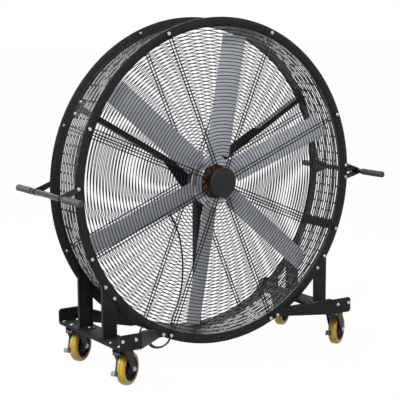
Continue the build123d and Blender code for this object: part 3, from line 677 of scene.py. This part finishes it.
# at each corner two bolts hold the arm to the base plate, one holds it to the flange, two hold the
# handle's brackets and two the post; the post's foot and the motor carrier's feet come after these
arm_face = 290
frame_bolt_places = [(625, arm_face, 225), (560, arm_face, 225), (322, bracket_face, 173)]
frame_bolt_places += [(bracket_x, bracket_face, axis_height + lift) for lift in (-bracket_lift, bracket_lift)]
frame_bolt_places += [(611, half_depth, 428), (569, half_depth, 373)]
post_bolt_x, post_bolt_y, post_bolt_z = 586, 85, base_top + post_sheet
foot_bolt_y, foot_bolt_aside, foot_seat = 95, 29, wall_outer - 0.3
frame_bolts = Shape()
for side in (-1, 1):
    for face, depth in ((front, -1), (back, 1)):
        for x, y, z in frame_bolt_places:
            bolt(frame_bolts, face(side * x, depth * y, z))
        bolt(frame_bolts, up(side * post_bolt_x, depth * post_bolt_y, post_bolt_z))
for angle in arm_angles:
    for aside in (-foot_bolt_aside, foot_bolt_aside):
        bolt(frame_bolts, radial(angle, foot_bolt_y, foot_seat) @ Matrix.Translation((0, aside, 0)))
piece("frame_bolt_heads", frame_bolts, zinc, "frame", ["frame_bolts"])

caster_bolt_x, caster_bolt_y = 34, 37.5
caster_bolts = Shape()
for x, y in corners.values():
    for dx in (-caster_bolt_x, caster_bolt_x):
        for dy in (-caster_bolt_y, caster_bolt_y):
            bolt(caster_bolts, up(x + dx, y + dy, base_top))
piece("caster_bolt_heads", caster_bolts, zinc, "frame")

# a flat bar along the inner part of the right motor arm
stiffener_y, stiffener_sheet = 77, 5
stiffener_outline = [(96, 12), (406, 12), (388, 33), (96, 33)]
stiffener = Shape().prism(stiffener_outline, stiffener_sheet, fan(stiffener_y, arm_angles[0]))
piece("arm_stiffener", stiffener, black, "frame", bevel=0.5)

# ---------------------------------------------------------------- blades
# a crowned back, drawn from the trailing to the leading edge, and a flat front
chord_half, camber, skin_edge, camber_steps = 55, 12.4, 1.6, 20
section = [(chord_half, 0.4), (chord_half, 1.5)]
for k in range(1, camber_steps):
    a = chord_half - 2 * chord_half * k / camber_steps
    section.append((a, skin_edge + camber * (1 - (a / chord_half) ** 2)))
section += [(-54.6, 2.2), (-55, 1.2), (-54.4, 0.3), (-53, 0), (53.6, 0)]
for number, angle in enumerate(blade_angles, 1):
    skin = Shape().prism(section, blade_tip - blade_root, blade_frame(angle, blade_root))
    piece(f"blade_{number}_skin", skin, aluminium, "rotor", [f"blade_{number}"], bevel=0.6)
blade_bolts = Shape()
for angle in blade_angles:
    for radius in blade_bolt_radii:
        at = blade_frame(angle, radius)
        at = frame_of(at.translation, at.col[0].to_3d(), -at.col[1].to_3d())
        bolt(blade_bolts, at, radius=7, height=5, washer=9)
piece("blade_bolt_heads", blade_bolts, zinc, "rotor", ["blade_bolts"])

# ---------------------------------------------------------------- motor
# each tooth's coil is a stack of loops, wider and longer outwards; it overhangs more at the front
teeth, coil_layers = 12, 4
coil_wire = 3.7
coil_y, coil_half_length = -10, 24
coil_back_reach, coil_front_reach, reach_step = 9, 21, 0.5
coil_radius, radius_step = 47, 6.6
coil_half_width, width_step = 6.8, 1.4
windings = Shape()
for tooth in range(teeth):
    for layer in range(coil_layers):
        half_width = coil_half_width + width_step * layer
        path = []
        for end, reach in ((1, coil_back_reach), (-1, coil_front_reach)):
            for a in range(-90, 91, 30):
                along = end * (coil_half_length + (reach + reach_step * layer) * cos(radians(a)))
                path.append((along, end * half_width * sin(radians(a)), 0))
        at = radial(tooth * 360 / teeth, coil_y, coil_radius + radius_step * layer)
        windings.tube(path, coil_wire, 8, at)
piece("copper_windings", windings, copper, "frame", ["stator_windings"], sharp=80)

# the bell's dark body and the bright collar before it, as (radius, depth behind the bell's face)
bell_front, bell_seat = -72, -46
bell_profile = [(73, 26), (92, 26), (92, 95), (91, 96), (74, 96), (73, 95)]
bell = Shape().turned([(r, -h) for r, h in bell_profile], 72, fan(bell_front), ring=True)
piece("bell_casting", bell, dark_metal, "rotor", ["rotor_bell"], sharp=40)
collar_profile = [(80, 0), (81, 1), (81, 26), (78, 26), (78, 1), (78.6, 0)]
collar = Shape().turned([(r, -h) for r, h in collar_profile], 72, fan(bell_front), ring=True)
piece("bell_collar", collar, hub_metal, "rotor", sharp=40)

# the open face: an outer ring, a disc on the shaft, and spokes crossed by a thin ring
grille_spokes, grille_depth = 12, 4.6
grille = Shape()
grille.turned([(78, -0.4), (73, -0.4), (73, -5), (78, -5)], 72, fan(bell_front), ring=True)
disc_profile = [(12.1, 0), (43.5, 0), (45, -1.5), (45, -3), (44, -4), (20, -4), (20, -24), (12.1, -24)]
grille.turned(disc_profile, 48, fan(bell_front), ring=True)
for k in range(grille_spokes):
    at = fan(bell_front + grille_depth, 360 / grille_spokes * (k + 0.5))
    grille.prism([(43, -1.6), (74, -1.8), (74, 1.8), (43, 1.6)], 4, at)
grille.turned([(60.4, -1), (58.8, -1), (58.8, -4), (60.4, -4)], 60, fan(bell_front), ring=True)
piece("bell_grille", grille, dark_metal, "rotor", sharp=40)

# the hub plate, with a strut that reaches into each blade
hub_thickness, hub_radius, hub_bore = 8, 118, 81.2
strut_start, strut_length, strut_half = 94, 112, 23
plate_profile = [(hub_bore, 0), (hub_radius - 1, 0), (hub_radius, -1), (hub_radius, 1 - hub_thickness),
                 (hub_radius - 1, -hub_thickness), (hub_bore, -hub_thickness)]
strut = [(-strut_half, 2.5), (strut_half, 2.5), (strut_half, 9.1), (-strut_half, 9.1)]
plate = Shape().turned(plate_profile, 96, fan(bell_seat - hub_thickness), ring=True)
for angle in blade_angles:
    plate.prism(strut, strut_length, blade_frame(angle, strut_start))
piece("hub_plate", plate, hub_metal, "rotor", ["blade_hub"], bevel=0.5)

# ---------------------------------------------------------------- handles
bar_half = 303
bar_profile = [(12.5, 0), (12.5, 2 * bar_half), (11.5, 2 * bar_half + 1)]
grip_start, grip_length, grip_ribs, grip_rib_pitch = 160, 145, 24, 5.2
for name, side in (("left", -1), ("right", 1)):
    bar = Shape()
    bar.turned(bar_profile, 32, back(side * bar_x, -bar_half, bar_z))
    for y in (-half_depth, bracket_face):
        for lift in (-bracket_lift, bracket_lift):
            ends = circle(bracket_x, axis_height + lift, 11, 20) + circle(bar_x, bar_z, 15, 24)
            outline = [(side * x, z) for x, z in hull(ends)][::side]
            bar.prism(outline, bracket_sheet, front(0, y, 0))
    piece(name + "_handle_bar", bar, bar_black, "frame", [name + "_handle"], bevel=0.6)
grip_profile = [(12.6, 0), (15, 0.8), (15, 7), (14.2, 8.5)]
for k in range(grip_ribs):
    h = grip_rib_pitch * k
    grip_profile += [(14.2, 10 + h), (14.8, 11 + h), (14.8, 13.4 + h), (14.2, 14.4 + h)]
grip_profile += [(14.8, 136), (14.8, 140), (13.5, 143), (11, 144.6), (7, grip_length)]
grips = Shape()
for x in (-bar_x, bar_x):
    grips.turned(grip_profile, 32, front(x, -grip_start, bar_z))
    grips.turned(grip_profile, 32, back(x, grip_start, bar_z))
piece("rubber_grips", grips, grip_rubber, "frame", ["handle_grips"])

# ---------------------------------------------------------------- casters
fork_sheet = 5
fork_inner = 27
fork_outer = fork_inner + fork_sheet
crown_bottom, crown_front, crown_back = 170, -30, 40
lug_inner = 16
axle_half, pedal_pin_half = 28, 23
pivot_x, pivot_z = -42, 160
pedal_pivot = Matrix.Translation((pivot_x, pivot_z, 0))
hub_place = Matrix.Translation((trail, wheel_radius, 0))
core_spokes = 10

crown_outline = [(crown_front, -fork_outer), (crown_back, -fork_outer), (crown_back, fork_outer),
                 (crown_front, fork_outer)]
fork_leg = hull([(crown_front, 175), (crown_front, 168), (crown_back, 168), (crown_back, 175)]
                + circle(trail, wheel_radius, 17, 28))
fork_lug = hull([(crown_front, 174), (crown_front, 168), (-24, 174)] + circle(pivot_x, pivot_z, 6, 16))
core_profile = [(58, -18.5), (58, 18.5), (52, 19.5), (50, 16), (48.5, 5), (20, 5), (18, 24), (17, 25),
                (7, 25), (7, -25), (17, -25), (18, -24), (20, -5), (48.5, -5), (50, -16), (52, -19.5)]
half_tread = [(58, 19), (62.5, 20.5), (67, 20), (71, 17.5), (73.6, 13), (74.7, 7), (wheel_radius, 2.2),
              (73.6, 1.2)]
tread_profile = [(r, -h) for r, h in half_tread] + half_tread[::-1]
lever_arm = [(-48, 166), (-48, 148), (-50, 128), (-54, 108), (-60, 90), (-52, 84), (-45, 106),
             (-41, 128), (-38, 145), (-36, 162)]
lever_foot = [(-62, 66), (-53, 66), (-51, 86), (-58, 90)]
pad_outline = [(-80, 72), (-63, 67), (-58, 86), (-66, 92), (-77, 87)]
pad_ribs, rib_step_x, rib_step_z = 3, 4.6, 1.9

# where each starts along the axle, and its width
lever_side, lever_sheet = -4, 5
foot_side, foot_width = -15, 24
pad_side, pad_width = -14, 17
pad_rib_side, pad_rib_width = -12, 13


def fork_shape(x, y):
    """The crown, two legs, and two lugs with the pedal's pin between them."""
    fork = Shape()
    along = caster(x, y).col[0].to_3d()
    fork.prism(crown_outline, fork_sheet, frame_of((x, y, crown_bottom), along, (0, 0, 1)))
    for inner, outline in ((fork_inner, fork_leg), (lug_inner, fork_lug)):
        fork.prism(outline, fork_sheet, caster(x, y, inner))
        fork.prism(outline, fork_sheet, caster(x, y, -inner - fork_sheet))
    return fork.turned([(3, 0), (3, 2 * pedal_pin_half)], 16, caster(x, y, -pedal_pin_half) @ pedal_pivot)


def axle_shape(x, y):
    """The axle with a head on each side of the fork."""
    axle = Shape().turned([(6, 0), (6, 2 * axle_half)], 20, caster(x, y, -axle_half) @ hub_place)
    front_end = caster(x, y, fork_outer) @ hub_place
    back_end = caster(x, y, -fork_outer) @ hub_place @ Matrix.Rotation(pi, 4, "X")
    for at in (front_end, back_end):
        bolt(axle, at, radius=8.5, height=8, washer=11)
    return axle


def core_shape(hub):
    """The wheel's rim, web and hub in one section, with ribs on both sides of the web."""
    core = Shape().turned(core_profile, 48, hub, ring=True)
    rib = [(18, -2), (50, -1.6), (50, 1.6), (18, 2)]
    for k in range(core_spokes):
        spin = hub @ Matrix.Rotation(2 * pi * k / core_spokes, 4, "Z")
        for low, high in ((4.5, 15), (-15, -4.5)):
            core.prism(rib, high - low, spin @ Matrix.Translation((0, 0, low)))
    return core


def lever_shape(x, y):
    """The brake lever: a sleeve on the pin, a flat arm and its foot."""
    lever = Shape().turned([(6.5, -15), (6.5, 15)], 20, caster(x, y) @ pedal_pivot)
    lever.prism(lever_arm, lever_sheet, caster(x, y, lever_side))
    return lever.prism(lever_foot, foot_width, caster(x, y, foot_side))


def pad_shape(x, y):
    """The lever's pad, with ribs across its top."""
    pad = Shape().prism(pad_outline, pad_width, caster(x, y, pad_side))
    for k in range(pad_ribs):
        u, v = rib_step_x * k, rib_step_z * k
        rib = [(-77.6 + u, 86.4 + v), (-74.8 + u, 87.6 + v), (-76.8 + u, 89.4 + v)]
        pad.prism(rib, pad_rib_width, caster(x, y, pad_rib_side))
    return pad


for corner, (x, y) in corners.items():
    swivel, wheel, brake = corner + "_swivel", corner + "_wheel", corner + "_brake"
    hub = caster(x, y) @ hub_place
    tyre = Shape().turned(tread_profile, 72, hub, ring=True)
    pad_finish = pedal_light if "left" in corner else pedal_dark
    piece(corner + "_fork_sheet", fork_shape(x, y), black, swivel, [corner + "_fork"],
          bevel=0.9)
    piece(corner + "_axle", axle_shape(x, y), zinc, swivel)
    piece(corner + "_core", core_shape(hub), wheel_black, wheel, [corner + "_wheel_core"],
          sharp=40)
    piece(corner + "_tread", tyre, tread_yellow, wheel, [corner + "_tyre"], sharp=60)
    piece(corner + "_lever", lever_shape(x, y), pedal_dark, brake, [corner + "_pedal"],
          bevel=0.8)
    piece(corner + "_pad", pad_shape(x, y), pad_finish, brake, bevel=0.8)

# ---------------------------------------------------------------- solids kept from the part
kept = {
    "motor_frame": (black, 0.8),
    "stator_core": (lamination, 0.3),
    "motor_bearings": (steel, 0.3),
    "rotor_shaft": (steel, 0.4),
    "left_base_plate": (plate_black, 1.2),
    "right_base_plate": (plate_black, 1.2),
    "posts": (black, 0.8),
    "left_front_arm": (black, 0.8),
    "left_back_arm": (black, 0.8),
    "right_front_arm": (black, 0.8),
    "right_back_arm": (black, 0.8),
    "caster_plates": (black, 0.5),
}
for name, (finish, bevel) in kept.items():
    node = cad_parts[name]
    node.data.materials.clear()
    node.data.materials.append(finish)
    soften(node, bevel, harden=False)


# ---------------------------------------------------------------- floor, world and light
def seen_directly(tree):
    """1 where the camera sees a surface itself, in a mirror or through glass."""
    path = tree.nodes.new("ShaderNodeLightPath")
    total = path.outputs["Is Camera Ray"]
    for name in ("Is Glossy Ray", "Is Transmission Ray"):
        most = tree.nodes.new("ShaderNodeMath")
        most.operation = "MAXIMUM"
        tree.links.new(total, most.inputs[0])
        tree.links.new(path.outputs[name], most.inputs[1])
        total = most.outputs[0]
    return total


def white_floor():
    """A matt grey floor that glows nearly white where it is seen, so that shadows stay faint."""
    mat = bpy.data.materials.new("floor")
    mat.use_nodes = True
    tree = mat.node_tree
    matte = tree.nodes["Principled BSDF"]
    matte.inputs["Base Color"].default_value = (0.3, 0.3, 0.3, 1)
    matte.inputs["Roughness"].default_value = 0.9
    matte.inputs["Specular IOR Level"].default_value = 0.1
    glow = tree.nodes.new("ShaderNodeEmission")
    glow.inputs["Strength"].default_value = 1.04
    share = tree.nodes.new("ShaderNodeMath")
    share.operation = "MULTIPLY"
    share.inputs[1].default_value = 0.94
    mix = tree.nodes.new("ShaderNodeMixShader")
    tree.links.new(seen_directly(tree), share.inputs[0])
    tree.links.new(share.outputs[0], mix.inputs[0])
    tree.links.new(matte.outputs[0], mix.inputs[1])
    tree.links.new(glow.outputs[0], mix.inputs[2])
    tree.links.new(mix.outputs[0], tree.nodes["Material Output"].inputs["Surface"])
    return mat


def white_world():
    """Soft light all round, seen as plain white."""
    world = bpy.data.worlds.new("world")
    world.use_nodes = True
    tree = world.node_tree
    sky = tree.nodes["Background"]
    white = tree.nodes.new("ShaderNodeBackground")
    for background, strength in ((sky, 0.34), (white, 1.0)):
        background.inputs["Color"].default_value = (1, 1, 1, 1)
        background.inputs["Strength"].default_value = strength
    mix = tree.nodes.new("ShaderNodeMixShader")
    tree.links.new(seen_directly(tree), mix.inputs[0])
    tree.links.new(sky.outputs[0], mix.inputs[1])
    tree.links.new(white.outputs[0], mix.inputs[2])
    tree.links.new(mix.outputs[0], tree.nodes["World Output"].inputs["Surface"])
    return world


floor_half = 60
floor_mesh = bpy.data.meshes.new("floor")
floor_corners = [(-floor_half, -floor_half, 0), (floor_half, -floor_half, 0), (floor_half, floor_half, 0),
                 (-floor_half, floor_half, 0)]
floor_mesh.from_pydata(floor_corners, [], [(0, 1, 2, 3)])
floor_mesh.materials.append(white_floor())
floor = bpy.data.objects.new("floor", floor_mesh)
bpy.context.scene.collection.objects.link(floor)
bpy.context.scene.world = white_world()

# name: place, size and power of each lamp, all aimed at the fan
lamps = {
    "key": ((-2.3, -2.6, 4.8), 2.4, 300),
    "fill": ((3.4, -3.0, 2.4), 2.4, 8),
    "window": ((-3.6, 1.2, 3.2), 2.0, 200),
    "rim": ((1.6, 3.4, 3.2), 2.4, 70),
}
target = Vector((0, 0, 0.8))
for name, (place, size, power) in lamps.items():
    lamp_data = bpy.data.lights.new(name, "AREA")
    lamp_data.size = size
    lamp_data.energy = power
    lamp = bpy.data.objects.new(name, lamp_data)
    lamp.location = place
    lamp.rotation_euler = (target - lamp.location).to_track_quat("-Z", "Y").to_euler()
    bpy.context.scene.collection.objects.link(lamp)
bpy.context.scene.view_settings.view_transform = "Standard"
